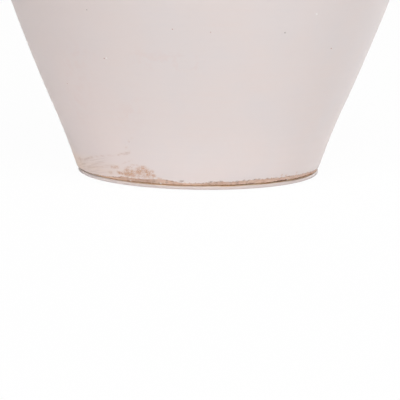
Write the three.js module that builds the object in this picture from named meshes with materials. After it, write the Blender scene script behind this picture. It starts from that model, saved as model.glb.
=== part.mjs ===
// A wheel-thrown terracotta vase with a pale chalk wash, standing on a thin glued disc.
// Millimetres, +Z up, origin on the floor under the middle of the disc.
import * as THREE from 'three';

// Overall sizes
const vaseHeight = 430;         // floor to the top of the rolled lip
const bellyDiameter = 288.4;    // clay, at its widest
const bellyHeight = 230;        // floor to the widest ring
const flareDiameter = 192.2;    // clay, where the lower wall is nearly a straight cone
const flareHeight = 56;
const footDiameter = 150;       // clay, where the wall meets its flat underside
const shoulderDiameter = 222;   // clay, where the wall slopes in most
const shoulderHeight = 316;
const neckDiameter = 122;       // clay, at its narrowest
const neckHeight = 378;
const lipDiameter = 166;        // clay, across the rolled lip

// Walls and edges of the clay
const wallThickness = 8;
const floorThickness = 13;
const floorFillet = 16;         // rounding where the inside wall runs into the floor
const heelRadius = 1.2;         // rounding of the foot's lower edge
const lipSwell = 2.4;           // how much the lip's radius exceeds half the wall

// Direction of the wall, in millimetres out for each millimetre up
const footLean = 0.322;
const flareLean = 0.415;
const shoulderLean = -1;
const lipLean = 1.1;

// How far each curve keeps the direction of its ends, as a share of its height
const footHold = 0.5;
const flareHoldBelow = 0.25;
const flareHoldAbove = 0.47;
const bellyHoldBelow = 0.25;
const bellyHoldAbove = 0.45;
const shoulderHoldBelow = 0.19;
const shoulderHoldAbove = 0.45;
const neckHoldBelow = 0.27;
const neckHoldAbove = 0.45;
const lipHold = 0.3;

// The thrown sections meet in a stepped joint, bedded in slip
const neckJointBelowNeck = 26;  // along the wall, from the narrowest ring down to the joint
const tongueHeight = 9;
const slipGap = 0.3;

// Coats, film and disc
const washThickness = 0.5;
const washStartAboveFoot = 2.6; // bare clay left along the foot
const washEndBelowNeck = 20;    // along the wall, from the narrowest ring down to its end inside
const glazeThickness = 0.5;
const coatGap = 0.3;
const discThickness = 2.3;
const discEdgeRadius = 0.6;
const glueThickness = 0.3;
const glueSetback = 1.5;        // from the disc's edge in to the film's edge

// Fineness of the solids
const sidesAround = 44;
const stepsPerCurve = { foot: 2, lower: 5, upper: 4, shoulder: 5, neck: 4 };
const stepsRound = 2;           // for a small quarter round
const stepsLip = 7;
const leastStep = 1;            // no two rings of a wall lie closer than this
const lengthSamples = 25;       // for each step, to measure along a curve

const terracotta = new THREE.MeshStandardMaterial({ color: 0xb9856a, roughness: 0.9, metalness: 0 });
const chalkWash = new THREE.MeshStandardMaterial({ color: 0xdfd3d0, roughness: 0.75, metalness: 0 });
const honeyGlaze = new THREE.MeshStandardMaterial({ color: 0x9a5a35, roughness: 0.25, metalness: 0 });
const paleDisc = new THREE.MeshStandardMaterial({ color: 0xd6cbc8, roughness: 0.4, metalness: 0 });
const amberGlue = new THREE.MeshStandardMaterial({ color: 0xb58d5c, roughness: 0.35, metalness: 0 });

const point = (radius, height) => new THREE.Vector2(radius, height);

// The clay's outer wall, from the foot to where the lip's roll is centred

const footHeight = discThickness + glueThickness;
const lipRadius = wallThickness / 2 + lipSwell;
const lipCentre = point(lipDiameter / 2 - lipRadius, vaseHeight - lipRadius);
const lipDirection = point(lipLean, 1).normalize();
const lipOutward = point(lipDirection.y, -lipDirection.x);
const lipEnd = lipCentre.clone().addScaledVector(lipOutward, wallThickness / 2);

// A curve from one ring to a higher one, each with its lean and the share of the rise that keeps it
function wallCurve(from, fromLean, fromHold, to, toLean, toHold) {
  const rise = to.y - from.y;
  const leaving = point(fromLean, 1).multiplyScalar(fromHold * rise).add(from);
  const arriving = point(toLean, 1).multiplyScalar(-toHold * rise).add(to);
  return new THREE.CubicBezierCurve(from, leaving, arriving, to);
}

const footRing = point(footDiameter / 2, footHeight);
const flareRing = point(flareDiameter / 2, flareHeight);
const bellyRing = point(bellyDiameter / 2, bellyHeight);
const shoulderRing = point(shoulderDiameter / 2, shoulderHeight);
const neckRing = point(neckDiameter / 2, neckHeight);

const wall = new THREE.CurvePath();
const wallSteps = [];
let wallLength = 0;
function addToWall(curve, steps) {
  const lengths = curve.getLengths(steps * lengthSamples);
  for (let i = 0; i < steps; i++) wallSteps.push(wallLength + lengths[i * lengthSamples]);
  wall.add(curve);
  wallLength += curve.getLength();
  return wallLength;
}
addToWall(
  wallCurve(footRing, footLean, footHold, flareRing, flareLean, flareHoldBelow),
  stepsPerCurve.foot);
const bellyStation = addToWall(
  wallCurve(flareRing, flareLean, flareHoldAbove, bellyRing, 0, bellyHoldBelow),
  stepsPerCurve.lower);
addToWall(
  wallCurve(bellyRing, 0, bellyHoldAbove, shoulderRing, shoulderLean, shoulderHoldBelow),
  stepsPerCurve.upper);
const neckStation = addToWall(
  wallCurve(shoulderRing, shoulderLean, shoulderHoldAbove, neckRing, 0, neckHoldBelow),
  stepsPerCurve.shoulder);
const lipStation = addToWall(
  wallCurve(neckRing, 0, neckHoldAbove, lipEnd, lipLean, lipHold),
  stepsPerCurve.neck);

// A point of the wall: station runs along the outer face, depth goes into the clay
function wallPoint(station, depth) {
  const share = station / wallLength;
  const along = wall.getTangent(share);
  return wall.getPoint(share).add(point(-along.y, along.x).multiplyScalar(depth));
}

// Points along the wall from one station to another, either way, at one depth
function wallRun(from, to, depth) {
  const low = Math.min(from, to);
  const high = Math.max(from, to);
  const between = wallSteps.filter((s) => s > low + leastStep && s < high - leastStep);
  const stations = [low, ...between, high];
  if (from > to) stations.reverse();
  return stations.map((s) => wallPoint(s, depth));
}

// The station where the wall, at some depth, reaches a height; the wall climbs all the way
function stationAtHeight(height, depth) {
  let low = 0;
  let high = bellyStation;
  for (let i = 0; i < 50; i++) {
    const middle = (low + high) / 2;
    if (wallPoint(middle, depth).y < height) low = middle;
    else high = middle;
  }
  return low;
}

function arc(centre, radius, fromAngle, toAngle, steps) {
  return Array.from({ length: steps + 1 }, (_, i) => {
    const angle = fromAngle + ((toAngle - fromAngle) * i) / steps;
    return point(centre.x + radius * Math.cos(angle), centre.y + radius * Math.sin(angle));
  });
}

// The lip's roll in section, raised off the clay by some distance, from outside over the top to inside
function lipRoll(raise) {
  const radius = lipRadius + raise;
  const halfNeck = Math.asin((wallThickness / 2 + raise) / radius);
  const backDown = Math.atan2(-lipDirection.y, -lipDirection.x);
  return arc(lipCentre, radius, backDown + halfNeck, backDown + 2 * Math.PI - halfNeck, stepsLip);
}

// How far down from the lip's centre the roll leaves the wall
const rollLength = Math.sqrt(lipRadius ** 2 - (wallThickness / 2) ** 2);
const rollStation = lipStation - rollLength;

// The inside corner and floor, raised off the clay by some distance, from the wall in to the axis
function insideFloor(raise) {
  const depth = wallThickness + raise;
  const height = footHeight + floorThickness + raise;
  const corner = wallPoint(stationAtHeight(height, depth), depth);
  const start = stationAtHeight(height + floorFillet, depth);
  const bend = new THREE.QuadraticBezierCurve(
    wallPoint(start, depth), corner, point(corner.x - floorFillet, height));
  return { start, points: [...bend.getPoints(2 * stepsRound).slice(1), point(0, height)] };
}

// Turns a section about the vase's axis; a section off the axis is closed on itself
function turned(name, section, material) {
  const onAxis = section[0].x === 0 && section.at(-1).x === 0;
  const outline = onAxis ? section : [...section, section[0].clone()];
  const geometry = new THREE.LatheGeometry(outline, sidesAround);
  geometry.rotateX(Math.PI / 2);
  const mesh = new THREE.Mesh(geometry, material);
  mesh.name = name;
  return mesh;
}

// The stepped joint between two sections: the lower one's tongue stands inside the upper one's socket

const tongueDepth = (wallThickness + slipGap) / 2;
const socketDepth = (wallThickness - slipGap) / 2;

const tongueTop = (joint) => [
  wallPoint(joint, 0),
  wallPoint(joint, tongueDepth),
  wallPoint(joint + tongueHeight, tongueDepth),
  wallPoint(joint + tongueHeight, wallThickness),
];

const socketFoot = (joint) => [
  wallPoint(joint + tongueHeight + slipGap, wallThickness),
  wallPoint(joint + tongueHeight + slipGap, socketDepth),
  wallPoint(joint + slipGap, socketDepth),
  wallPoint(joint + slipGap, 0),
];

const bellyJoint = bellyStation;
const neckJoint = neckStation - neckJointBelowNeck;

// Everything between a section's two ends: up the outer face first, down the inner face last
const outerFace = (from, to) => wallRun(from, to, 0).slice(1, -1);
const innerFace = (from, to) => wallRun(from, to, wallThickness).slice(1, -1);

function lowerBody() {
  const floor = insideFloor(0);
  const underside = point(footRing.x - heelRadius, footHeight);
  const heel = new THREE.QuadraticBezierCurve(underside, footRing, wallPoint(heelRadius, 0));
  return turned('lower_body', [
    point(0, footHeight),
    ...heel.getPoints(stepsRound),
    ...outerFace(heelRadius, bellyJoint),
    ...tongueTop(bellyJoint),
    ...innerFace(bellyJoint + tongueHeight, floor.start),
    wallPoint(floor.start, wallThickness),
    ...floor.points,
  ], terracotta);
}

function shoulder() {
  return turned('shoulder', [
    ...socketFoot(bellyJoint),
    ...outerFace(bellyJoint + slipGap, neckJoint),
    ...tongueTop(neckJoint),
    ...innerFace(neckJoint + tongueHeight, bellyJoint + tongueHeight + slipGap),
  ], terracotta);
}

function neckAndRim() {
  return turned('neck_and_rim', [
    ...socketFoot(neckJoint),
    ...outerFace(neckJoint + slipGap, rollStation),
    ...lipRoll(0),
    ...innerFace(rollStation, neckJoint + tongueHeight + slipGap),
  ], terracotta);
}

const washEnd = neckStation - washEndBelowNeck;

// The wash runs up the outside, over the lip and some way down the inside
function chalkCoat() {
  const near = coatGap;
  const far = coatGap + washThickness;
  const face = (raise) => [
    ...wallRun(washStartAboveFoot, rollStation, -raise).slice(0, -1),
    ...lipRoll(raise),
    ...wallRun(rollStation, washEnd, wallThickness + raise).slice(1),
  ];
  return turned('chalk_wash', [...face(far), ...face(near).reverse()], chalkWash);
}

// The glaze lines the inside from below the wash down across the floor
function insideGlaze() {
  const glazeTop = washEnd - coatGap;
  const face = (raise) => {
    const floor = insideFloor(raise);
    return [...wallRun(glazeTop, floor.start, wallThickness + raise), ...floor.points];
  };
  return turned('inner_glaze', [...face(coatGap).reverse(), ...face(coatGap + glazeThickness)], honeyGlaze);
}

const discRadius = footDiameter / 2;

function footGlue() {
  const radius = discRadius - glueSetback;
  return turned('foot_glue', [
    point(0, discThickness),
    point(radius, discThickness),
    point(radius, footHeight),
    point(0, footHeight),
  ], amberGlue);
}

function footDisc() {
  const inner = discRadius - discEdgeRadius;
  const low = point(inner, discEdgeRadius);
  const high = point(inner, discThickness - discEdgeRadius);
  return turned('foot_disc', [
    point(0, 0),
    ...arc(low, discEdgeRadius, -Math.PI / 2, 0, stepsRound),
    ...arc(high, discEdgeRadius, 0, Math.PI / 2, stepsRound),
    point(0, discThickness),
  ], paleDisc);
}

const vase = new THREE.Group();
vase.add(footDisc(), footGlue(), lowerBody(), shoulder(), neckAndRim(), chalkCoat(), insideGlaze());

export default vase;
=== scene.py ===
# A terracotta vase under a worn chalk wash, dressed over its turned solids.
import bisect
import math
import random

import bpy
from mathutils import Matrix, Vector


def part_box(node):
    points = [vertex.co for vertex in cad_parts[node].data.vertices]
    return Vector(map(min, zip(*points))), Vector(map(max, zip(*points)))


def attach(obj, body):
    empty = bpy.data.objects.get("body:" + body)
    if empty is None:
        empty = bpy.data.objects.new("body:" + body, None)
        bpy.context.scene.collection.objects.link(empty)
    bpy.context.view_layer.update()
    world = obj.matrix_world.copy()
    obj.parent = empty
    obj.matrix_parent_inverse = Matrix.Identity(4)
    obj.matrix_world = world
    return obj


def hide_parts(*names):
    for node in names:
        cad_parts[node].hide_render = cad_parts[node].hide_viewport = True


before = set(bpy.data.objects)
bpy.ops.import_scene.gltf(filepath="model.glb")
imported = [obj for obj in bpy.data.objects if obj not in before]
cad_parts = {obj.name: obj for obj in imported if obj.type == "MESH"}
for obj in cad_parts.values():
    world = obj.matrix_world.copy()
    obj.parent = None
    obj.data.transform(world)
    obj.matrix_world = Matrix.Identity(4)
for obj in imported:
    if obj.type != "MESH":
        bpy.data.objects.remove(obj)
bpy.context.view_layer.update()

mm = 0.001
scene = bpy.context.scene
scene.view_settings.view_transform = "Standard"
print("frame loaded:", sorted(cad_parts))


class Wire:                                        # a socket in a node tree, or the tree alone
    def __init__(self, tree, socket=None):
        self.tree = tree
        self.socket = socket

    def feed(self, socket, value):                 # links a wire, or sets a plain value
        if isinstance(value, Wire):
            self.tree.links.new(value.socket, socket)
        elif value is not None:
            socket.default_value = value

    def node(self, kind, settings=None, sockets=None, out=0):
        made = self.tree.nodes.new(kind)
        for name, value in (settings or {}).items():
            if name == "points":                   # a curve node's points
                setPoints(made.mapping, value)
            else:
                setattr(made, name, value)
        for key, value in (sockets or {}).items():
            self.feed(made.inputs[key], value)
        return Wire(self.tree, made.outputs[out]) if made.outputs else made

    def other(self, out):                          # another output of the same node
        return Wire(self.tree, self.socket.node.outputs[out])

    def maths(self, operation, *values):
        return self.node("ShaderNodeMath", {"operation": operation}, dict(enumerate(values)))

    def __add__(self, value):
        return self.maths("ADD", self, value)

    def __radd__(self, value):
        return self.maths("ADD", value, self)

    def __sub__(self, value):
        return self.maths("SUBTRACT", self, value)

    def __rsub__(self, value):
        return self.maths("SUBTRACT", value, self)

    def __mul__(self, value):
        return self.maths("MULTIPLY", self, value)

    def __rmul__(self, value):
        return self.maths("MULTIPLY", value, self)

    def __truediv__(self, value):
        return self.maths("DIVIDE", self, value)

    def __abs__(self):
        return self.maths("ABSOLUTE", self)


def setPoints(mapping, points):
    curve = mapping.curves[0]
    while len(curve.points) < len(points):
        curve.points.new(0.5, 0.5)
    for made, (across, value) in zip(curve.points, points):
        made.location = (across, value)
    mapping.update()


def ramp(value, low, high):                        # 0 at low, 1 at high, eased; low may be the larger
    return value.node("ShaderNodeMapRange", {"interpolation_type": "SMOOTHSTEP"},
                      {0: value, 1: low, 2: high})


def vector(w, x, y, z=0.0):
    return w.node("ShaderNodeCombineXYZ", None, {0: x, 1: y, 2: z})


def noise(spot, scale, detail=2.0, roughness=0.5):
    return spot.node("ShaderNodeTexNoise", None,
                     {"Vector": spot, "Scale": scale, "Detail": detail, "Roughness": roughness})


def most(first, *others):                          # the largest of several masks
    for value in others:
        first = first.maths("MAXIMUM", first, value)
    return first


def tint(code):                                    # a colour as it is seen, made linear
    shares = [int(code[i:i + 2], 16) / 255 for i in (0, 2, 4)]
    return [s / 12.92 if s <= 0.04045 else ((s + 0.055) / 1.055) ** 2.4 for s in shares] + [1.0]


def mixed(share, first, second):                   # first at 0, second at 1
    return share.node("ShaderNodeMix", {"data_type": "RGBA"}, {0: share, 6: first, 7: second}, 2)


# the clay's outer wall, foot to lip, as rings with the wall's lean and how far each curve keeps it
lipRoll = {"across": 83.0 * mm, "height": 430.0 * mm, "radius": 6.4 * mm, "lean": 1.1}
wallThick = 8.0 * mm
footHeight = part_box("lower_body")[0].z
lipCentre = Vector((lipRoll["across"] - lipRoll["radius"], lipRoll["height"] - lipRoll["radius"]))
lipHeading = Vector((lipRoll["lean"], 1)).normalized()
lipSide = lipCentre + Vector((lipHeading.y, -lipHeading.x)) * (wallThick / 2)
wallRings = [
    {"radius": 75.0 * mm, "height": footHeight, "lean": 0.322, "below": 0.0, "above": 0.5},
    {"radius": 96.1 * mm, "height": 56.0 * mm, "lean": 0.415, "below": 0.25, "above": 0.47},
    {"radius": 144.2 * mm, "height": 230.0 * mm, "lean": 0.0, "below": 0.25, "above": 0.45},
    {"radius": 111.0 * mm, "height": 316.0 * mm, "lean": -1.0, "below": 0.19, "above": 0.45},
    {"radius": 61.0 * mm, "height": 378.0 * mm, "lean": 0.0, "below": 0.27, "above": 0.45},
    {"radius": lipSide.x, "height": lipSide.y, "lean": lipRoll["lean"], "below": 0.3, "above": 0.0},
]
curveSteps = 160


def wallSamples():                                 # length so far, place and heading along the wall
    samples = []
    length = 0.0
    for low, high in zip(wallRings, wallRings[1:]):
        rise = high["height"] - low["height"]
        start = Vector((low["radius"], low["height"]))
        end = Vector((high["radius"], high["height"]))
        leaving = start + Vector((low["lean"], 1)) * (low["above"] * rise)
        arriving = end - Vector((high["lean"], 1)) * (high["below"] * rise)
        for i in range(curveSteps + (high is wallRings[-1])):
            t = i / curveSteps
            u = 1 - t
            spot = start * u ** 3 + leaving * (3 * u * u * t) + arriving * (3 * u * t * t) + end * t ** 3
            heading = (leaving - start) * (u * u) + (arriving - leaving) * (2 * u * t)
            heading += (end - arriving) * (t * t)
            if samples:
                length += (spot - samples[-1][1]).length
            samples.append((length, spot, heading.normalized()))
    return samples


wallLine = wallSamples()
wallStations = [sample[0] for sample in wallLine]
bellyStation = wallStations[2 * curveSteps]
shoulderStation = wallStations[3 * curveSteps]
neckStation = wallStations[4 * curveSteps]
rollStation = wallStations[-1] - math.sqrt(lipRoll["radius"] ** 2 - (wallThick / 2) ** 2)


def wallAt(station, lift):                         # a point of the wall, lifted outwards off its face
    i = min(max(bisect.bisect(wallStations, station), 1), len(wallLine) - 1)
    before, after = wallLine[i - 1], wallLine[i]
    share = (station - before[0]) / (after[0] - before[0])
    heading = before[2].lerp(after[2], share).normalized()
    return before[1].lerp(after[1], share) + Vector((heading.y, -heading.x)) * lift


def stationAt(height, lift):                       # where the lifted wall reaches a height
    low, high = 0.0, bellyStation
    for _ in range(40):
        middle = (low + high) / 2
        low, high = (middle, high) if wallAt(middle, lift).y < height else (low, middle)
    return low


def spread(start, end, count):                     # evenly spaced, without the end
    return [start + (end - start) * i / count for i in range(count)]


def lipArc(lift, count):                           # over the lip, from outside to inside
    radius = lipRoll["radius"] + lift
    half = math.asin((wallThick / 2 + lift) / radius)
    back = math.atan2(-lipHeading.y, -lipHeading.x)
    turns = spread(back + half, back + 2 * math.pi - half, count) + [back + 2 * math.pi - half]
    return [lipCentre + Vector((math.cos(a), math.sin(a))) * radius for a in turns]


# wear of the wash round the foot, in millimetres: across is measured round it, from the front to the right
footWear = {
    "radius": 78.0,                                # of the foot, which turns an angle into a distance across
    "edge": [                                      # height at which the wash stops, by mm across
        (-245, 5.0), (-205, 5.6), (-160, 4.7), (-125, 3.8), (-99, 3.5), (-90, 3.2), (-82, 3.1), (-70, 3.4),
        (-60, 3.9), (-53, 4.5), (-48, 5.1), (-41, 4.9), (-33, 5.1), (-25, 5.7), (-20, 5.5), (-15, 5.0),
        (-6, 4.1), (4, 4.1), (9, 5.0), (15, 5.2), (19, 4.8), (30, 5.2), (40, 5.5), (53, 5.3), (67, 5.2),
        (80, 5.1), (92, 4.6), (101, 4.4), (140, 5.6), (190, 4.6), (245, 5.0),
    ],
    "teeth": 2.2,                                  # raggedness of that edge
    "brushTilt": 11.5,                             # slope of the brushed streaks, in degrees
    "streaks": [                                   # rubbed lines: from, to, half width, strength
        ((-97.0, 10.2), (-85.0, 11.2), 0.9, 0.45), ((-85.0, 11.2), (-71.5, 15.0), 0.9, 0.55),
        ((-71.0, 15.1), (-59.0, 17.5), 0.5, 0.5), ((-59.0, 17.5), (-50.0, 18.7), 0.5, 0.35),
        ((-49.5, 19.0), (-39.6, 22.0), 0.6, 0.6), ((-45.0, 19.6), (-39.8, 21.4), 0.7, 0.55),
        ((-93.5, 10.2), (-89.5, 10.9), 1.7, 0.6), ((-92.0, 7.6), (-84.0, 8.9), 0.7, 0.5),
        ((-84.0, 6.4), (-63.5, 9.9), 0.55, 0.5), ((-63.0, 10.1), (-53.0, 12.4), 0.45, 0.35),
        ((-47.0, 13.6), (-39.4, 16.8), 0.35, 0.45), ((-77.0, 9.4), (-62.0, 12.6), 0.4, 0.4),
        ((-42.6, 24.3), (-41.0, 24.7), 0.9, 0.5), ((-39.8, 28.4), (-39.1, 28.8), 0.5, 0.7),
        ((-37.0, 30.8), (-36.4, 31.1), 0.5, 0.6),
        ((160.0, 8.5), (203.0, 15.0), 0.6, 0.6), ((172.0, 7.0), (215.0, 11.5), 0.5, 0.5),
        ((-186.0, 9.0), (-160.0, 12.5), 0.6, 0.5),
    ],
    "stains": [                                    # patches rubbed thin: from, to, half width, strength
        ((-47.5, 7.6), (-39.0, 7.4), 1.9, 0.9), ((-46.0, 9.7), (-43.0, 9.9), 1.6, 0.85),
        ((-42.5, 9.4), (-38.5, 9.2), 1.3, 0.8), ((-44.5, 11.8), (-40.0, 12.2), 0.7, 0.4),
        ((-41.0, 13.7), (-36.0, 13.9), 0.6, 0.3), ((-37.5, 9.2), (-33.6, 11.2), 2.4, 1.0),
        ((-34.3, 12.2), (-31.0, 11.8), 1.7, 0.9), ((-31.8, 11.0), (-29.2, 7.2), 2.4, 1.0),
        ((-38.5, 7.0), (-31.5, 7.0), 1.5, 0.5), ((-29.0, 7.8), (-25.5, 7.8), 1.2, 0.8),
        ((-28.4, 10.6), (-26.4, 10.2), 1.1, 0.8), ((-57.0, 10.4), (-50.5, 11.2), 1.0, 0.6),
        ((-60.0, 6.7), (-57.0, 6.9), 1.0, 0.5), ((-52.5, 7.6), (-48.0, 7.2), 1.2, 0.6),
        ((220.0, 8.2), (238.0, 8.6), 2.4, 0.8),
    ],
    "scuffs": [                                    # spots rubbed through to the clay, as above
        ((-52.8, 7.8), (-48.0, 7.2), 0.85, 0.8), ((-47.0, 6.9), (-44.6, 6.9), 1.1, 1.0),
        ((-44.0, 7.2), (-39.0, 7.0), 0.9, 0.7), ((-46.0, 8.6), (-44.5, 9.6), 0.8, 0.3),
        ((-38.6, 9.2), (-36.0, 8.9), 1.0, 1.0), ((-36.2, 10.0), (-34.6, 11.4), 0.8, 0.4),
        ((-34.6, 12.2), (-31.8, 12.3), 1.2, 0.8), ((-32.6, 11.2), (-31.0, 10.2), 0.9, 0.5),
        ((-30.8, 9.6), (-29.8, 7.8), 0.8, 0.35), ((-28.6, 10.6), (-27.8, 10.3), 0.7, 0.6),
        ((-26.8, 10.2), (-26.2, 10.2), 0.5, 0.65), ((-28.0, 7.6), (-25.6, 7.6), 0.8, 0.65),
        ((-36.8, 7.8), (-34.9, 11.0), 0.45, 0.55), ((-35.4, 7.2), (-33.6, 11.0), 0.4, 0.5),
        ((-33.7, 7.0), (-32.4, 10.4), 0.4, 0.55), ((-31.8, 7.2), (-30.6, 11.4), 0.5, 0.6),
        ((-30.2, 6.6), (-29.0, 10.0), 0.45, 0.55),
        ((-24.5, 6.6), (-21.5, 6.0), 0.6, 0.45), ((56.6, 6.9), (57.4, 7.1), 0.6, 0.9),
        ((60.4, 5.9), (61.4, 6.4), 0.7, 0.9), ((70.2, 7.0), (71.0, 7.1), 0.6, 0.8),
        ((222.0, 8.4), (232.0, 9.4), 1.4, 0.7), ((226.0, 7.2), (238.0, 6.9), 0.9, 0.7),
        ((-150.0, 6.8), (-143.0, 7.6), 0.9, 0.6),
    ],
    "grime": [                                     # dark flecks on the torn edge, as above
        ((-16.2, 4.9), (-14.2, 5.0), 0.4, 0.7), ((-10.4, 5.3), (-8.0, 5.3), 0.45, 0.9),
        ((7.6, 5.0), (9.6, 5.2), 0.45, 0.9), ((14.2, 5.5), (15.6, 5.1), 0.45, 0.9),
        ((24.2, 5.0), (25.6, 5.3), 0.4, 0.8), ((28.9, 5.4), (30.2, 5.6), 0.45, 0.9),
        ((32.4, 5.2), (33.4, 5.6), 0.4, 0.9), ((36.0, 5.5), (37.4, 5.8), 0.45, 0.9),
        ((39.2, 5.8), (40.6, 5.9), 0.4, 0.7), ((45.0, 5.8), (46.8, 5.8), 0.4, 0.7),
        ((52.0, 5.6), (53.4, 5.7), 0.4, 0.6),
    ],
    "seamGrime": [                                 # painted shade in the gap over the disc, with a glue stain: how dark the seam is, by mm across
        (-245, 0.7), (-150, 0.6), (-100, 0.72), (-82, 0.66), (-73, 0.15), (-64, 0.0), (-45, 0.08),
        (-35, 0.28), (-24, 0.32), (-12, 0.15), (-3, 0.18), (5, 0.35), (13, 0.5), (22, 0.52), (30, 0.78),
        (42, 0.55), (52, 0.76), (61, 0.9), (66, 0.52), (76, 0.62), (90, 0.42), (104, 0.3), (170, 0.5),
        (245, 0.7),
    ],
    "burnt": [                                     # where the bare clay is darker
        (-245, 0.3), (-100, 0.2), (-60, 0.15), (-45, 0.35), (-37, 0.6), (-30, 1.0), (-25, 0.5), (-20, 0.0),
        (-12, 0.05), (-3, 0.2), (5, 0.5), (10, 0.9), (15, 0.5), (25, 0.3), (40, 0.15), (60, 0.15), (92, 0.0),
        (150, 0.4), (245, 0.3),
    ],
    "dusty": [                                     # painted light: a pale warm colour along the seam where the foot's overhang shades it
        (-245, 0.0), (-82, 0.0), (-73, 0.8), (-55, 0.8), (-47, 0.4), (-40, 0.0), (-16, 0.0), (-8, 0.4),
        (2, 0.6), (7, 0.1), (40, 0.1), (48, 0.5), (57, 0.2), (66, 0.0), (245, 0.0),
    ],
    "overrun": [                                   # glue run over the disc's upper edge, its dark part also painted shade of the seam
        (-245, 0.2), (-104, 0.15), (-84, 0.1), (-66, 0.0), (-45, 0.35), (-30, 0.7), (-12, 0.8), (-4, 0.35),
        (8, 0.3), (15, 0.7), (22, 0.9), (28, 0.6), (36, 0.15), (52, 0.1), (62, 0.2), (71, 0.9), (85, 1.0),
        (96, 0.7), (106, 0.2), (160, 0.2), (245, 0.2),
    ],
    "blush": [                                     # where the clay's colour shows faintly through the wash
        ((-72.0, 36.0), (-56.0, 88.0), 9.0, 0.8), ((-30.0, 82.0), (3.0, 80.5), 4.0, 1.0),
        ((-41.0, 40.0), (-30.0, 53.0), 7.0, 0.8),
        ((120.0, 60.0), (175.0, 80.0), 12.0, 0.8), ((-170.0, 120.0), (-120.0, 95.0), 12.0, 0.8),
    ],
    "drips": [((-64.0, 25.0), (-61.0, 44.0), 0.9, 1.0)],  # runs of the wash
}


def wearFields(spot):                              # angle, distance round the foot and height, in mm
    place = spot.node("ShaderNodeSeparateXYZ", None, {0: spot})
    angle = spot.maths("ARCTAN2", place, 0 - place.other("Y"))
    return angle, angle * footWear["radius"], place.other("Z") * (1 / mm)


def roundFoot(angle, points, top):                 # a value, up to top, that changes round the foot
    girth = 2 * math.pi * footWear["radius"]
    shares = [(across / girth + 0.5, value / top) for across, value in points]
    return angle.node("ShaderNodeFloatCurve", {"points": shares}, {1: angle / (2 * math.pi) + 0.5}) * top


def washEdge(angle):                               # height of the wash's torn lower edge, in mm
    ringSpot = vector(angle, angle.maths("SINE", angle), angle.maths("COSINE", angle))
    teeth = noise(ringSpot, 48.0, 5.0, 0.75) - 0.5
    crisp = ramp(angle, -0.25, 0.1) * 0.5 + 0.5    # smoother at the left of the front
    return roundFoot(angle, footWear["edge"], 10.0) + teeth * crisp * (2 * footWear["teeth"])


def easy(value, low, high):                        # the same easing as ramp, on plain numbers
    share = min(max((value - low) / (high - low), 0.0), 1.0)
    return share * share * (3 - 2 * share)


def strokeShare(across, up, start, end, halfWidth, strength):  # how strongly a soft line covers a place
    run = Vector(end) - Vector(start)
    length = run.length
    run.normalize()
    soft = max(0.8, halfWidth)
    fromStart = Vector((across - start[0], up - start[1]))
    along = fromStart.dot(run)
    off = abs(fromStart.y * run.x - fromStart.x * run.y)
    if off > halfWidth * 1.6 or along < -soft or along > length + soft:
        return 0.0
    ends = easy(along, -soft, soft) * easy(along, length + soft, length - soft)
    return easy(off, halfWidth * 1.6, halfWidth * 0.1) * ends * strength


def markWear(piece, kinds):                        # stores each kind of wear on the piece's points
    mesh = piece.data
    places = []
    for point in mesh.vertices:
        across = math.atan2(point.co.x, -point.co.y) * footWear["radius"]
        places.append((across, point.co.z / mm))
    marks = {}
    for kind in kinds:
        lines = footWear[kind]
        highest = max(max(start[1], end[1]) + 2 * halfWidth for start, end, halfWidth, _ in lines)
        marks[kind] = [max(strokeShare(*place, *line) for line in lines) if place[1] < highest else 0.0
                       for place in places]
        made = mesh.attributes.new(kind, "FLOAT", "POINT")
        made.data.foreach_set("value", marks[kind])
    return marks


def worn(w, kind):                                 # reads a stored kind of wear
    return w.node("ShaderNodeAttribute", {"attribute_name": kind}, None, "Fac")


def footMarks(spot):                               # scuffs, streaks, brush hairs and stains, each 0 to 1
    _, across, up = wearFields(spot)
    tilt = math.radians(footWear["brushTilt"])
    along = across * math.cos(tilt) + up * math.sin(tilt)
    over = up * math.cos(tilt) - across * math.sin(tilt)
    hairs = noise(vector(spot, along * 0.06, over * 1.2), 1.0, 3.0, 0.6)
    breaks = noise(vector(spot, along * 0.4, over * 1.2), 1.0, 3.0, 0.7) - 0.5
    flecks = noise(vector(spot, across * 0.6 - up * 0.25, up * 0.65), 1.0, 5.0, 0.8) - 0.5
    veins = noise(vector(spot, across * 0.5 - up * 0.3, up * 0.55), 1.0, 2.0) - 0.5
    held = ramp(abs(veins), 0.0, 0.055)            # the wash holds in fine lines across the patches
    stains = worn(spot, "stains")
    rubbed = most(worn(spot, "scuffs"), stains * 0.4)
    scuffs = ramp(rubbed + flecks * 1.2, 0.1, 0.65) * ramp(rubbed, 0.03, 0.2) * held
    streaks = ramp(worn(spot, "streaks") + breaks, 0.2, 1.05)
    fanHeight = ramp(over, 16.0, 20.0) * ramp(over, 28.5, 27.0)
    fan = fanHeight * ramp(along, -48.0, -62.0) * ramp(along, -150.0, -110.0)
    return scuffs, streaks, fan * ramp(hairs, 0.42, 0.66), stains * ramp(flecks, -0.45, 0.0) * held


print("wear of the wash laid out")


def newMaterial(name):
    material = bpy.data.materials.new(name)
    material.use_nodes = True
    return material, Wire(material.node_tree), material.node_tree.nodes["Principled BSDF"]


def ownSpot(w):                                    # the place on the piece itself
    return w.node("ShaderNodeTexCoord", None, None, "Object")


def bump(height, strength, distance):
    return height.node("ShaderNodeBump", None, {"Strength": strength, "Distance": distance, "Height": height})


def dress(shader, colour, roughness, normal=None):
    colour.feed(shader.inputs["Base Color"], colour)
    colour.feed(shader.inputs["Roughness"], roughness)
    colour.feed(shader.inputs["Normal"], normal)


def looks(**codes):                                # named colours, each made linear
    return {name: tint(code) for name, code in codes.items()}


# dust is a pale warm colour painted as light on the shaded seam
clayLook = looks(pale="e1c7b7", fired="cea995", dark="876654", chalk="e2d6d0", seam="6b4d3c",
                 amber="ab7d48", dust="f2d3bd")


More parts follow.
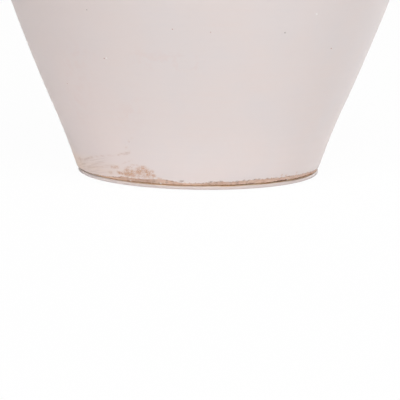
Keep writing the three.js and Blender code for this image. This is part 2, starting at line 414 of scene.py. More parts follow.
def clayColour(spot):                              # bare fired clay, mottled, with fine turning lines
    _, across, up = wearFields(spot)
    patchy = noise(spot, 90.0, 3.0, 0.6)
    grit = noise(spot, 900.0, 3.0, 0.7)
    lines = noise(vector(spot, across * 0.04, up * 1.6), 1.0, 3.0, 0.6)
    smears = noise(vector(spot, across * 0.45, up * 1.1), 1.0, 3.0, 0.65)
    colour = mixed(ramp(patchy * 0.5 + lines * 0.5, 0.38, 0.62), clayLook["fired"], clayLook["pale"])
    colour = mixed(ramp(smears, 0.5, 0.66) * 0.42, colour, clayLook["dark"])
    colour = mixed(ramp(grit, 0.6, 0.72) * 0.4, colour, clayLook["dark"])
    return mixed(ramp(lines * 0.5 + grit * 0.5, 0.58, 0.7) * 0.5, colour, clayLook["chalk"]), grit


def clayMaterial(name, stained):
    material, w, shader = newMaterial(name)
    spot = ownSpot(w)
    colour, grit = clayColour(spot)
    if stained:                                    # grime on the torn edge, and in the seam over the disc painted shade with an amber glue stain
        angle, across, up = wearFields(spot)
        blots = noise(vector(spot, across * 0.4, up * 0.8), 1.0, 4.0, 0.7) - 0.5
        dirt = roundFoot(angle, footWear["seamGrime"], 1.0)
        # painted shade: a dark brown line in the gap over the disc, partly an amber glue stain
        seam = ramp(up - blots * 2.2 - dirt, 2.9, 2.2) * ramp(dirt, -0.3, 1.0)
        burnt = roundFoot(angle, footWear["burnt"], 1.0) * ramp(blots, -0.3, 0.2)
        colour = mixed(most(worn(w, "grime") * 0.8, burnt * 0.45), colour, clayLook["dark"])
        # painted light over the shaded clay just above the seam, in the pale dust colour
        dust = roundFoot(angle, footWear["dusty"], 1.0) * ramp(up + blots, 4.0, 3.2)
        colour = mixed(dust, colour, clayLook["dust"])
        stain = mixed(ramp(dirt, 0.4, 0.7), clayLook["amber"], clayLook["seam"])
        colour = mixed(seam, colour, stain)
    dress(shader, colour, grit * 0.2 + 0.75, bump(grit, 0.5, 0.3 * mm))
    return material


washLook = looks(body="dfd6d4", warm="e0d5d2", cool="ddd5d4", blush="dcc5c0", cast="eed8ca",
                 flank="e3d4d0", stain="c39879", streak="b69e94", rubbed="c39372", edge="ebe3df",
                 grime="7d5038")


def washMaterial():
    material, w, shader = newMaterial("chalkWash")
    spot = ownSpot(w)
    angle, across, up = wearFields(spot)
    clouds = noise(spot, 26.0, 3.0, 0.55)
    brushed = noise(vector(spot, across * 0.02, up * 0.42), 1.0, 3.0, 0.6)
    blotches = noise(spot, 210.0, 2.0, 0.5)
    grain = noise(spot, 1400.0, 2.0, 0.6)
    colour = mixed(ramp(clouds, 0.35, 0.65), washLook["cool"], washLook["warm"])
    colour = mixed(ramp(brushed, 0.35, 0.65) * 0.6, colour, washLook["body"])
    colour = mixed(worn(w, "blush") * ramp(blotches, 0.46, 0.62) * 0.3, colour, washLook["blush"])
    # painted shade: the warmer hue that the shaded left side of the front shows
    flank = ramp(across, 10.0, -80.0) * ramp(across, -200.0, -140.0)
    colour = mixed(flank * 0.5, colour, washLook["flank"])
    # painted light: the lower left of the foot made lighter and warmer, as if lit from the floor
    cast = ramp(across, -28.0, -78.0) * ramp(across, -190.0, -140.0) * ramp(up, 19.0, 6.0)
    colour = mixed(cast * (ramp(across, -84.0, -100.0) * 0.45 + 0.45), colour, washLook["cast"])
    scuffs, streaks, hairs, stains = footMarks(spot)
    clay, grit = clayColour(spot)
    rise = up - washEdge(angle)                    # height over the torn edge
    torn = ramp(rise, 0.3, 0.0)
    # painted highlight: a lighter band just above the torn edge of the wash
    colour = mixed(ramp(rise, 1.6, 0.4) * 0.35, colour, washLook["edge"])
    colour = mixed(hairs * 0.26, colour, washLook["streak"])
    thinned = most(worn(w, "streaks") * 0.3, worn(w, "scuffs") * 0.5, stains * 0.95)
    colour = mixed(thinned, colour, washLook["stain"])
    colour = mixed(streaks * 0.65, colour, washLook["streak"])
    colour = mixed(scuffs * 0.85, colour, mixed(grit, washLook["rubbed"], clay))
    colour = mixed(torn, colour, clay)
    # a darker broken line drawn along the torn edge, mixed in with the dark flecks
    broken = noise(vector(spot, across * 0.45, up), 1.0, 2.0)
    outline = ramp(abs(rise - 0.1), 0.55, 0.1) * ramp(broken, 0.42, 0.6)
    colour = mixed(most(worn(w, "grime") * 0.8, outline * 0.3), colour, washLook["grime"])
    bare = most(scuffs, torn, streaks * 0.5)
    relief = brushed * 0.5 + grain * 0.12 - bare * 0.5
    dress(shader, colour, bare * 0.25 + grain * 0.12 + 0.5, bump(relief, 0.35, 0.25 * mm))
    return material


glazeLook = looks(thin="a9693f", pooled="7d4427", specks="4a2716")


def glazeMaterial():
    material, w, shader = newMaterial("honeyGlaze")
    spot = ownSpot(w)
    pooled = noise(spot, 22.0, 4.0, 0.6)
    specks = noise(spot, 420.0, 2.0, 0.6)
    colour = mixed(ramp(pooled, 0.35, 0.68), glazeLook["thin"], glazeLook["pooled"])
    colour = mixed(ramp(specks, 0.64, 0.72) * 0.7, colour, glazeLook["specks"])
    dress(shader, colour, pooled * 0.15 + 0.14, bump(pooled + specks * 0.1, 0.2, 0.5 * mm))
    return material


discLook = looks(low="d3c7c4", high="d9ceca", scuffed="efe5e1", dulled="b3a7a5", smear="c4b6b0",
                 dust="b19a8c", clearGlue="b98f63", darkGlue="8c6c58")


def discMaterial():
    material, w, shader = newMaterial("paleDisc")
    spot = ownSpot(w)
    angle, across, up = wearFields(spot)
    smears = noise(vector(spot, across * 0.05, up * 0.9), 1.0, 3.0, 0.6)
    dust = noise(spot, 700.0, 3.0, 0.7)
    # painted light: the upper half of the disc's edge lighter than the lower
    colour = mixed(ramp(up, 1.0, 1.5), discLook["low"], discLook["high"])
    # painted light: the left end of the disc made lighter where it lies in shade
    scuffed = ramp(across, -40.0, -90.0) * ramp(across, -180.0, -130.0)
    colour = mixed(scuffed * 0.5, colour, discLook["scuffed"])
    # painted shade: the right end of the disc made darker against the rim lamp
    dulled = ramp(across, 72.0, 102.0) * ramp(across, 180.0, 130.0)
    colour = mixed(dulled * 0.7, colour, discLook["dulled"])
    colour = mixed(ramp(smears, 0.5, 0.7) * 0.3, colour, discLook["smear"])
    colour = mixed(ramp(dust, 0.62, 0.74) * 0.35, colour, discLook["dust"])
    # glue over the disc's top edge; its darker part is partly painted shade of the seam
    glue = mixed(ramp(across, 38.0, 62.0), discLook["clearGlue"], discLook["darkGlue"])
    film = roundFoot(angle, footWear["overrun"], 1.0) * ramp(up + smears * 0.5, 1.7, 2.4)
    colour = mixed(film * 0.8, colour, glue)
    dress(shader, colour, smears * 0.2 + 0.35, bump(smears, 0.2, 0.1 * mm))
    return material


glueLook = looks(thin="e6caa4", thick="c2925f")


def glueMaterial():
    material, w, shader = newMaterial("amberGlue")
    spot = ownSpot(w)
    _, across, up = wearFields(spot)
    thick = noise(vector(spot, across * 0.3, up), 1.0, 3.0, 0.6)
    colour = mixed(ramp(thick, 0.38, 0.62), glueLook["thin"], glueLook["thick"])
    dress(shader, colour, thick * 0.2 + 0.2, bump(thick, 0.3, 0.1 * mm))
    return material


def speckMaterial(name, first, second):
    material, w, shader = newMaterial(name)
    patchy = noise(ownSpot(w), 160.0, 2.0, 0.5)
    dress(shader, mixed(ramp(patchy, 0.4, 0.6), tint(first), tint(second)), patchy * 0.3 + 0.5)
    return material


print("finishes mixed")


def startTree(name, sizes):                        # a tree with one named input for each size
    tree = bpy.data.node_groups.new(name, "GeometryNodeTree")
    tree.interface.new_socket("Shape", in_out="INPUT", socket_type="NodeSocketGeometry")
    for label, value in sizes.items():
        kind = "NodeSocketInt" if isinstance(value, int) else "NodeSocketFloat"
        tree.interface.new_socket(label, in_out="INPUT", socket_type=kind)
    tree.interface.new_socket("Finish", in_out="INPUT", socket_type="NodeSocketMaterial")
    tree.interface.new_socket("Piece", in_out="OUTPUT", socket_type="NodeSocketGeometry")
    w = Wire(tree)
    return tree, w, w.node("NodeGroupInput")


def endTree(w, given, shape):
    shape = w.node("GeometryNodeRealizeInstances", None, {0: shape})
    shape = w.node("GeometryNodeSetShadeSmooth", None, {0: shape})
    shape = w.node("GeometryNodeSetMaterial", None, {0: shape, "Material": given.other("Finish")})
    w.node("NodeGroupOutput", None, {0: shape})


def grow(obj, tree, sizes, finish):                # runs the tree and keeps its result as a plain mesh
    modifier = obj.modifiers.new("grow", "NODES")
    modifier.node_group = tree
    keys = {item.name: item.identifier for item in tree.interface.items_tree if item.in_out == "INPUT"}
    for label, value in sizes.items():
        modifier[keys[label]] = value
    modifier[keys["Finish"]] = finish
    seen = obj.evaluated_get(bpy.context.evaluated_depsgraph_get())
    mesh = bpy.data.meshes.new_from_object(seen)
    obj.modifiers.clear()
    if mesh.materials[0] is None:                  # the slot of the points that the tree started from
        mesh.materials.pop(index=0)
    obj.data = mesh
    mesh.name = obj.name
    print("made", obj.name, "with", sum(len(face.vertices) - 2 for face in mesh.polygons), "triangles")
    return obj


def meshOfPoints(name, points, attributes):        # loose points that carry numbers or vectors
    mesh = bpy.data.meshes.new(name)
    mesh.from_pydata(points, [], [])
    for label, values in attributes.items():
        if isinstance(values[0], (tuple, list, Vector)):
            made = mesh.attributes.new(label, "FLOAT_VECTOR", "POINT")
            made.data.foreach_set("vector", [part for value in values for part in value])
        else:
            made = mesh.attributes.new(label, "FLOAT", "POINT")
            made.data.foreach_set("value", values)
    obj = bpy.data.objects.new(name, mesh)
    scene.collection.objects.link(obj)
    return obj


asideFade = (40.0 * mm, 3.0 * mm)                  # heights between which the foot moves off the axis
mergeGap = 0.004 * mm                              # closes each piece at its seam


# a turned piece: each section row is a radius, a height, how freely its face may swell and how far
# it follows a torn edge; relief gives how far a point moves outwards and upwards
def turnedPiece(name, rows, sizes, relief, finish):
    tree, w, given = startTree(name, sizes)
    rowCount = w.node("GeometryNodeAttributeDomainSize", None, {0: given})
    sides = given.other("Sides")
    sheet = w.node("GeometryNodeMeshGrid", None, {"Vertices X": sides + 1, "Vertices Y": rowCount})
    index = w.node("GeometryNodeInputIndex")
    column = w.maths("FLOOR", (index + 0.5) / rowCount)
    row = index - column * rowCount

    def ofRow(kind, value):
        return w.node("GeometryNodeSampleIndex", {"data_type": kind}, {0: given, 1: value, 2: row})

    named = {label: w.node("GeometryNodeInputNamedAttribute", {"data_type": "FLOAT"}, {0: label})
             for label in ("face", "rim")}
    rowPlace = ofRow("FLOAT_VECTOR", w.node("GeometryNodeInputPosition"))
    section = w.node("ShaderNodeSeparateXYZ", None, {0: rowPlace})
    face, rim = ofRow("FLOAT", named["face"]), ofRow("FLOAT", named["rim"])
    angle = (column / sides - 0.5) * (2 * math.pi)  # the seam is at the back
    sine, cosine = w.maths("SINE", angle), w.maths("COSINE", angle)
    radius, height = section, section.other("Z")
    plain = vector(w, radius * sine, 0 - radius * cosine, height)
    outward, upward = relief(given, plain, angle, height, face, rim)
    radius = radius + outward
    aside = ramp(height, *asideFade) * given.other("Aside")
    place = vector(w, radius * sine + aside, 0 - radius * cosine, height + upward)
    sheet = w.node("GeometryNodeSetPosition", None, {0: sheet, "Position": place})
    sheet = w.node("GeometryNodeMergeByDistance", None, {0: sheet, "Distance": mergeGap})
    endTree(w, given, sheet)
    points = [(radius, 0.0, height) for radius, height, _, _ in rows]
    shares = {"face": [row[2] for row in rows], "rim": [row[3] for row in rows]}
    return grow(meshOfPoints(name, points, shares), tree, sizes, finish)


def waves(given, plain, face):                     # slow swelling of a hand-turned wall, and its grain
    slow = noise(plain, given.other("Swell Scale"), 1.0) - 0.5
    fine = noise(plain, given.other("Grain Scale"), 2.0, 0.6) - 0.5
    return face * (slow * given.other("Swell") * 2 + fine * given.other("Grain") * 2)


def throwingRings(given, angle, height):           # the spiral left by the potter's fingers
    turn = height / given.other("Ring Pitch") * (2 * math.pi) + angle
    return height.maths("SINE", turn) * given.other("Ring Height")


# the chalk wash, up the outside, over the lip and into the neck
coatStart = 1.2 * mm                               # along the wall from the foot
coatBack, coatFront = 0.3 * mm, 0.62 * mm          # lift of the two faces off the clay
washEndBelowNeck = 20.0 * mm
wearDepth, dripHeight = 0.2 * mm, 0.14 * mm
washCoat = {
    "Sides": 620,
    "Aside": 0.35 * mm,
    "Swell": 0.2 * mm, "Swell Scale": 14.0,
    "Grain": 0.03 * mm, "Grain Scale": 420.0,
    "Ring Height": 0.05 * mm, "Ring Pitch": 7.0 * mm,
    "Lowest Edge": wallAt(coatStart, coatBack).y,  # height of the first row before it is torn
}


# how far along the wall each band of rows ends, and its number of rows
frontBands = [(13 * mm, 24), (34 * mm, 18), (120 * mm, 16), (shoulderStation, 12), (rollStation, 18)]
backBands = [(shoulderStation, 18), (120 * mm, 6), (coatStart, 9)]


def bandStations(start, bands):
    stations = []
    for end, count in bands:
        stations += spread(start, end, count)
        start = end
    return stations


def coatRows():
    start, end = coatStart, neckStation - washEndBelowNeck
    torn = 8.0 * mm                                # rows this near the edge shift with it
    feather = 3.0 * mm                             # the coat thins out towards the edge
    rows = []

    def addWall(stations, lift, face):
        for station in stations:
            thin = min(1.0, (station - start) / feather)
            spot = wallAt(station, coatBack + (lift - coatBack) * (0.35 + 0.65 * thin))
            pull = max(0.0, 1 - (station - start) / torn)
            rows.append((spot.x, spot.y, face, pull * pull * (3 - 2 * pull)))

    addWall(bandStations(start, frontBands), coatFront, 1.0)
    rows += [(spot.x, spot.y, 0.4, 0.0) for spot in lipArc(coatFront, 12)[1:-1]]
    inside = spread(rollStation, end, 12) + [end]
    rows += [(*wallAt(station, -wallThick - coatFront), 0.0, 0.0) for station in inside]
    rows += [(*wallAt(station, -wallThick - coatBack), 0.0, 0.0) for station in inside[::-2]]
    rows += [(spot.x, spot.y, 0.0, 0.0) for spot in lipArc(coatBack, 6)[-2:0:-1]]
    addWall(bandStations(rollStation, backBands)[1:], coatBack, 0.0)
    rows.append((*wallAt(start, coatBack), 0.0, 1.0))
    rows.append(rows[0])
    return rows


def coatRelief(given, plain, angle, height, face, rim):
    swell = waves(given, plain, face) + throwingRings(given, angle, height) * face
    lift = (washEdge(angle) * mm - given.other("Lowest Edge")) * rim
    return swell + lift * wallRings[0]["lean"], lift


coat = turnedPiece("washCoat", coatRows(), washCoat, coatRelief, washMaterial())
marks = markWear(coat, ("stains", "scuffs", "streaks", "grime", "blush", "drips"))
for point, scuff, streak, drip in zip(coat.data.vertices, marks["scuffs"], marks["streaks"], marks["drips"]):
    out = Vector((point.co.x, point.co.y, 0)).normalized()
    point.co += out * (drip * dripHeight - max(scuff, streak * 0.5) * wearDepth)

# the thrown lower body, bare clay where the wash has worn off along the foot
clayBody = {
    "Sides": 600,
    "Aside": 0.35 * mm,
    "Swell": 0.1 * mm, "Swell Scale": 14.0,
    "Grain": 0.16 * mm, "Grain Scale": 330.0,
    "Chip": 0.45 * mm, "Chip Scale": 120.0,
}
floorThick, floorFillet, heel = 13.0 * mm, 16.0 * mm, 1.2 * mm
grainBand, chipBand = 12.0 * mm, 5.0 * mm          # how far up the foot the clay is grainy and chipped
tongue, slipGap = 9.0 * mm, 0.3 * mm               # the sections meet in stepped joints, bedded in slip
neckJoint = neckStation - 26.0 * mm


def insideCorner(lift, count):                     # the rounded corner inside, from the wall to the floor
    level = footHeight + floorThick + lift
    depth = -wallThick - lift
    corner = wallAt(stationAt(level, depth), depth)
    start = stationAt(level + floorFillet, depth)
    high, low = wallAt(start, depth), Vector((corner.x - floorFillet, level))
    shares = spread(0.0, 1.0, count) + [1.0]
    bend = [high * (1 - t) ** 2 + corner * (2 * t * (1 - t)) + low * t ** 2 for t in shares]
    return start, bend, level


def tongueTop(joint):                              # stands inside the next section's socket
    middle = (wallThick + slipGap) / 2
    steps = ((joint, 0.0), (joint, middle), (joint + tongue, middle), (joint + tongue, wallThick))
    return [(*wallAt(station, -depth), 0.0, 0.0) for station, depth in steps]


def socketFoot(joint):
    middle, low, high = (wallThick - slipGap) / 2, joint + slipGap, joint + tongue + slipGap
    steps = ((high, wallThick), (high, middle), (low, middle), (low, 0.0))
    return [(*wallAt(station, -depth), 0.0, 0.0) for station, depth in steps]


def wallRows(start, end, depth, count):            # along one face of the wall, without both ends
    return [(*wallAt(station, -depth), 0.0, 0.0) for station in spread(start, end, count)[1:]]


def bodyRows():
    footEdge = wallAt(0.0, 0.0)
    under = Vector((footEdge.x - heel, footEdge.y))
    side = wallAt(heel, 0.0)
    rows = [(ring, footHeight, 0.0, 0.0) for ring in (0.0, 50 * mm, 70 * mm)]
    for t in spread(0.0, 1.0, 6):
        spot = under * (1 - t) ** 2 + footEdge * (2 * t * (1 - t)) + side * t ** 2
        rows.append((spot.x, spot.y, min(1.0, t * 1.5), 1.0))
    for station in bandStations(heel, [(grainBand, 16), (bellyStation, 22)]):
        face = 1.0 if station < grainBand else 0.0
        rows.append((*wallAt(station, 0.0), face, max(0.0, 1 - station / chipBand)))
    rows += tongueTop(bellyStation)
    start, bend, level = insideCorner(0.0, 5)
    rows += wallRows(bellyStation + tongue, start, wallThick, 16)
    rows += [(*spot, 0.0, 0.0) for spot in bend]
    rows.append((0.0, level, 0.0, 0.0))
    return rows


def bodyRelief(given, plain, angle, height, face, rim):
    chipped = ramp(noise(plain, given.other("Chip Scale"), 3.0, 0.6), 0.5, 0.72)
    return waves(given, plain, face) - chipped * rim * face * given.other("Chip"), 0.0


body = turnedPiece("clayBody", bodyRows(), clayBody, bodyRelief, clayMaterial("bareClayFoot", True))
markWear(body, ("grime",))

# the two thrown sections above it, under the wash and the glaze
upperClay = {
    "Sides": 180,
    "Aside": 0.0,
    "Swell": 0.0, "Swell Scale": 14.0,
    "Grain": 0.0, "Grain Scale": 100.0,
}


def plainRelief(given, plain, angle, height, face, rim):
    return waves(given, plain, face), 0.0


def shoulderRows():
    rows = socketFoot(bellyStation) + wallRows(bellyStation + slipGap, neckJoint, 0.0, 24)
    rows += tongueTop(neckJoint)
    rows += wallRows(neckJoint + tongue, bellyStation + tongue + slipGap, wallThick, 20)
    return rows + rows[:1]


def neckRows():
    rows = socketFoot(neckJoint) + wallRows(neckJoint + slipGap, rollStation, 0.0, 16)
    rows += [(*spot, 0.0, 0.0) for spot in lipArc(0.0, 14)]
    rows += wallRows(rollStation, neckJoint + tongue + slipGap, wallThick, 14)
    return rows + rows[:1]


shoulderClay, neckClay = clayMaterial("bareClayShoulder", False), clayMaterial("bareClayNeck", False)
shoulder = turnedPiece("clayShoulder", shoulderRows(), upperClay, plainRelief, shoulderClay)
neck = turnedPiece("clayNeck", neckRows(), upperClay, plainRelief, neckClay)

# the glaze inside, with the potter's finger rings under it
innerGlaze = {
    "Sides": 240,
    "Aside": 0.35 * mm,
    "Swell": 0.12 * mm, "Swell Scale": 16.0,
    "Grain": 0.02 * mm, "Grain Scale": 200.0,
    "Ring Height": 0.16 * mm, "Ring Pitch": 9.5 * mm,
}
glazeBack, glazeFront = 0.28 * mm, 0.62 * mm       # lift of the two faces off the clay
glazeGap = 0.3 * mm                                # between the glaze and the end of the wash


def glazeRows():
    top = neckStation - washEndBelowNeck - glazeGap
    rows = []
    start, bend, level = insideCorner(glazeBack, 5)
    rows.append((0.0, level, 0.0, 0.0))
    rows += [(*spot, 0.0, 0.0) for spot in bend[::-1]]
    rows += [(*wallAt(s, -wallThick - glazeBack), 0.0, 0.0) for s in spread(start, top, 24)[1:] + [top]]
    start, bend, level = insideCorner(glazeFront, 8)
    rows.append((*wallAt(top, -wallThick - glazeFront), 0.0, 0.0))
    rows += [(*wallAt(s, -wallThick - glazeFront), 1.0, 0.0) for s in spread(top, start, 150)[1:]]
    rows += [(*spot, 0.6, 0.0) for spot in bend]
    rows += [(share * bend[-1].x, level, 0.3 * share, 0.0) for share in (0.75, 0.5, 0.25)]
    rows.append((0.0, level, 0.0, 0.0))
    return rows


def glazeRelief(given, plain, angle, height, face, rim):
    return waves(given, plain, face) + throwingRings(given, angle, height) * face, 0.0


glaze = turnedPiece("glazeLining", glazeRows(), innerGlaze, glazeRelief, glazeMaterial())

# the disc under the foot, cut from sheet, with a fine line left round its edge
footDisc = {
    "Sides": 480,
    "Aside": 0.65 * mm,
    "Swell": 0.16 * mm, "Swell Scale": 22.0,
    "Grain": 0.02 * mm, "Grain Scale": 300.0,
}
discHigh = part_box("foot_disc")[1]
discRadius, discTop = discHigh.x, discHigh.z
discRound, scoreDepth, scoreHeight = 0.85 * mm, 0.12 * mm, 1.2 * mm
discProud = 0.15 * mm                              # burr of the cut edge


def discRows():
    side = discRadius + discProud
    inner = side - discRound
    rows = [(0.0, 0.0, 0.0, 0.0), (inner * 0.9, 0.0, 0.0, 0.0)]
    rows += [(inner + discRound * math.sin(a), discRound * (1 - math.cos(a)), math.sin(a), 0.0)
             for a in spread(0.0, math.pi / 2, 6)]
    for lift, cut in ((-0.3, 0.0), (-0.15, 0.0), (0.0, 1.0), (0.15, 0.0)):
        rows.append((side - cut * scoreDepth, scoreHeight + lift * mm, 1.0, 0.0))
    rows += [(inner + discRound * math.cos(a), discTop - discRound * (1 - math.sin(a)), math.cos(a), 0.0)
             for a in spread(0.0, math.pi / 2, 6)]
    rows += [(inner, discTop, 0.0, 0.0), (inner * 0.9, discTop, 0.0, 0.0), (0.0, discTop, 0.0, 0.0)]
    return rows


disc = turnedPiece("footPad", discRows(), footDisc, plainRelief, discMaterial())

# the film of glue between them, squeezed out here and there
glueFilm = {
    "Sides": 480,
    "Aside": 0.6 * mm,
    "Swell": 0.0, "Swell Scale": 10.0,
    "Grain": 0.0, "Grain Scale": 100.0,
    "Squeeze": 2.1 * mm, "Bead Scale": 160.0,
}
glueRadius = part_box("foot_glue")[1].x
glueFlat = glueRadius - 8.0 * mm                   # the flat film inside its bead
glueFill = 0.96                                    # share of the gap under the foot that it fills
glueSqueeze = [(-245, 0.5), (-160, 0.8), (-112, 0.45), (-92, 0.45), (-76, 0.62), (-58, 0.78), (-41, 0.8),
               (-25, 0.82), (-11, 0.58), (2, 0.85), (14, 0.88), (32, 0.85), (50, 1.0), (62, 0.9), (72, 0.78),
               (102, 0.8), (163, 0.4), (245, 0.5)]  # share squeezed out, by mm across


def glueRows():
    middle, half = (discTop + footHeight) / 2, (footHeight - discTop) / 2 * glueFill
    rows = [(0.0, middle - half, 0.0, 0.0), (glueFlat, middle - half, 0.0, 0.0)]
    for a in spread(-math.pi / 2, math.pi / 2, 8) + [math.pi / 2]:
        bulge = math.cos(a)
        rows.append((glueRadius - half + half * bulge, middle + half * math.sin(a), 1.0, bulge * 0.3 + 0.7))
    rows += [(glueFlat, middle + half, 0.0, 0.0), (0.0, middle + half, 0.0, 0.0)]
    return rows


def glueRelief(given, plain, angle, height, face, rim):
    beads = noise(plain, given.other("Bead Scale"), 2.0, 0.6)
    out = roundFoot(angle, glueSqueeze, 1.0) * 0.75 + beads * 0.5 - 0.25
    return waves(given, plain, face) + rim * out * given.other("Squeeze"), 0.0


glue = turnedPiece("glueBead", glueRows(), glueFilm, glueRelief, glueMaterial())

# specks on the wash and crumbs of it in the seam
# each has its angle from the front in degrees, then height, width and length in mm
washSpecks = {
    "pits": [(-33.8, 109.5, 0.9, 0.8), (26.2, 98.2, 1.1, 1.0)],
    "rustDots": [(46.2, 86.4, 0.9, 0.9), (-31.3, 80.3, 0.9, 0.8), (-7.7, 100.5, 0.8, 0.7),
                 (3.4, 99.1, 0.6, 0.6), (-52.6, 61.2, 0.8, 0.7), (-28.6, 28.4, 0.6, 0.5)],
    "grains": [(35.8, 108.6, 1.6, 1.1), (-30.4, 80.6, 0.9, 0.9)],
    "crumbs": [(-32.2, 3.1, 1.2, 2.0), (-21.5, 2.7, 1.0, 1.2), (-16.7, 3.0, 1.2, 2.0),
               (47.3, 2.9, 1.2, 1.0)],
}
scattered = {
    "counts": {"pits": 16, "rustDots": 22, "grains": 34},
    "seed": 11,
    "heights": (12, 420),
    "widths": (0.5, 1.0),
    "lengths": (0.7, 1.3),                         # for each width
    "frontAngle": 100, "frontTop": 125,            # none are scattered over the low front
}
speckShape = {"Lump": 0.12, "Lump Scale": 1.7, "Flatness": 0.3}
castFrom = 300.0 * mm                              # from the axis, well outside the wall


def scatterSpecks(kind):                           # over the back, and all round higher up
    chance = random.Random(scattered["seed"] + len(kind))
    spots = []
    while len(spots) < scattered["counts"].get(kind, 0):
        angle, height = chance.uniform(-180, 180), chance.uniform(*scattered["heights"])
        width = chance.uniform(*scattered["widths"])
        if abs(angle) > scattered["frontAngle"] or height > scattered["frontTop"]:
            spots.append((angle, height, width, width * chance.uniform(*scattered["lengths"])))
    return spots


def speckPiece(kind, host, finish):
    points, facings, spans = [], [], []
    for angle, height, width, length in washSpecks[kind] + scatterSpecks(kind):
        turn = math.radians(angle)
        out = Vector((math.sin(turn), -math.cos(turn), 0))
        _, place, facing, _ = host.ray_cast(out * castFrom + Vector((0, 0, height * mm)), -out)
        points.append(place)
        facings.append(facing)
        spans.append((width * mm, length * mm, width * speckShape["Flatness"] * mm))
    tree, w, given = startTree(kind, speckShape)
    held = {label: w.node("GeometryNodeInputNamedAttribute", {"data_type": "FLOAT_VECTOR"}, {0: label})
            for label in ("facing", "span")}
    ball = w.node("GeometryNodeMeshIcoSphere", None, {"Radius": 0.5, "Subdivisions": 2})
    lump = noise(w.node("GeometryNodeInputPosition"), given.other("Lump Scale")) - 0.5
    push = w.node("ShaderNodeVectorMath", {"operation": "SCALE"},
                  {0: w.node("GeometryNodeInputNormal"), "Scale": lump * given.other("Lump") * 2})
    ball = w.node("GeometryNodeSetPosition", None, {0: ball, "Offset": push})
    turned = w.node("FunctionNodeAlignRotationToVector", {"axis": "Z"}, {"Vector": held["facing"]})
    turned = w.node("FunctionNodeAlignRotationToVector", {"axis": "Y", "pivot_axis": "Z"},
                    {"Rotation": turned, "Vector": (0, 0, 1)})
    endTree(w, given, w.node("GeometryNodeInstanceOnPoints", None,
                             {0: given, "Instance": ball, "Rotation": turned, "Scale": held["span"]}))
    return grow(meshOfPoints(kind, points, {"facing": facings, "span": spans}), tree, speckShape, finish)


bpy.context.view_layer.update()
for kind, host, slot, first, second in (("pits", coat, "terracotta", "b6aba8", "c3b8b5"),
                                        ("rustDots", coat, "terracotta", "b8958a", "c6a69c"),
                                        ("grains", coat, "wash", "eee9e8", "e4dcda"),
                                        ("crumbs", body, "wash", "e9e1dc", "dfd3cc")):
    specks = speckPiece(kind, host, speckMaterial(kind, first, second))
    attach(specks, "root")

for piece, node, slot in ((coat, "chalk_wash", "wash"), (body, "lower_body", "terracotta"),
                          (shoulder, "shoulder", "terracotta"), (neck, "neck_and_rim", "terracotta"),
                          (glaze, "inner_glaze", "glaze"), (disc, "foot_disc", "disc"),
                          (glue, "foot_glue", "glue")):
    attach(piece, "root")
    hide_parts(node)
print("turned pieces ride on the frame")

# floor, light and camera
white = (1, 1, 1, 1)
studio = {"floorWidth": 8.0, "floorColour": "fcfbfb", "shadow": 0.03, "world": 0.25}
lamps = {                                          # place, aim and width in metres, watts, beam in degrees
    "topLight": ((0.2, -1.2, 2.0), (0, 0, 0.05), 1.2, 24.0, 180.0),
    "frontLight": ((0.3, -2.3, 0.6), (0, 0, 0.12), 1.6, 11.1, 180.0),
    "fillLight": ((-1.1, -1.8, 0.5), (0, 0, 0.1), 1.2, 5.4, 180.0),
    "sideLight": ((1.6, -0.4, 0.4), (0, 0, 0.1), 1.0, 3.9, 180.0),
    "rimLight": ((1.2, 1.2, 0.3), (0.05, 0, 0.15), 0.6, 9.4, 180.0),
    "lowLight": ((-1.3, -0.5, 0.1), (-0.06, 0, -0.05), 0.3, 0.036, 14.0),
}


def seenRays(w):                                   # 1 for rays that show the background as it is seen
    path = w.node("ShaderNodeLightPath", None, None, "Is Camera Ray")
    return most(path, path.other("Is Glossy Ray"), path.other("Is Transmission Ray"))


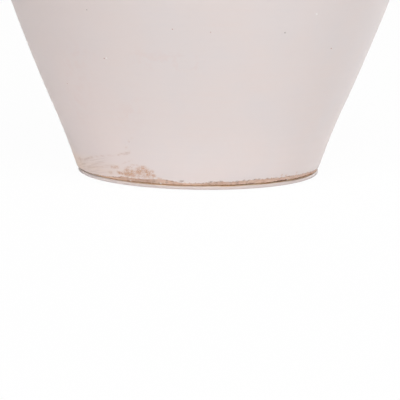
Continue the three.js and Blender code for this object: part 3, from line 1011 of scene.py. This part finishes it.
def floorMaterial():                               # shown white, with a share of its lit self for the shadow
    material, w, shader = newMaterial("paleFloor")
    lit = w.node("ShaderNodeBsdfDiffuse", None, {"Color": tint(studio["floorColour"])})
    plain = w.node("ShaderNodeEmission", None, {"Color": white, "Strength": 1.0})
    shown = w.node("ShaderNodeMixShader", None, {0: 1 - studio["shadow"], 1: lit, 2: plain})
    both = w.node("ShaderNodeMixShader", None, {0: seenRays(w), 1: lit, 2: shown})
    w.feed(material.node_tree.nodes["Material Output"].inputs["Surface"], both)
    material.node_tree.nodes.remove(shader)
    return material


half = studio["floorWidth"] / 2
corners = [(-half, -half, 0), (half, -half, 0), (half, half, 0), (-half, half, 0)]
floorMesh = bpy.data.meshes.new("floor")
floorMesh.from_pydata(corners, [], [(0, 1, 2, 3)])
floorMesh.materials.append(floorMaterial())
floor = bpy.data.objects.new("floor", floorMesh)
scene.collection.objects.link(floor)

world = bpy.data.worlds.new("studio")
world.use_nodes = True
scene.world = world
air = Wire(world.node_tree)
sky = world.node_tree.nodes["Background"]
air.feed(sky.inputs["Color"], white)
air.feed(sky.inputs["Strength"], seenRays(air) * (1 - studio["world"]) + studio["world"])


def softLight(name, place, aim, width, watts, beam):
    lamp = bpy.data.lights.new(name, "AREA")
    lamp.shape = "DISK"
    lamp.size = width
    lamp.energy = watts
    lamp.spread = math.radians(beam)
    obj = bpy.data.objects.new(name, lamp)
    obj.location = place
    obj.rotation_euler = (Vector(aim) - Vector(place)).to_track_quat("-Z", "Y").to_euler()
    scene.collection.objects.link(obj)


for name, values in lamps.items():
    softLight(name, *values)

view = {"place": (0.0, -1.6, 0.2593), "focalPixels": 2581.8, "imageWidth": 400,
        "down": 9.872, "turn": 0.08, "roll": 0.85}
down, turn, roll = (math.radians(view[key]) for key in ("down", "turn", "roll"))
ahead = Vector((math.sin(turn) * math.cos(down), math.cos(turn) * math.cos(down), -math.sin(down)))
level = ahead.cross(Vector((0, 0, 1))).normalized()
upright = level.cross(ahead)
right = level * math.cos(roll) + upright * math.sin(roll)
top = upright * math.cos(roll) - level * math.sin(roll)
lens = bpy.data.cameras.new("camera")
lens.sensor_width = 36.0
lens.lens = view["focalPixels"] / view["imageWidth"] * lens.sensor_width
lens.clip_end = 50.0
camera = bpy.data.objects.new("camera", lens)
camera.matrix_world = Matrix((right, top, -ahead)).transposed().to_4x4()
camera.location = view["place"]
scene.collection.objects.link(camera)
scene.camera = camera
print("floor, light and camera set")

bpy.context.view_layer.update()
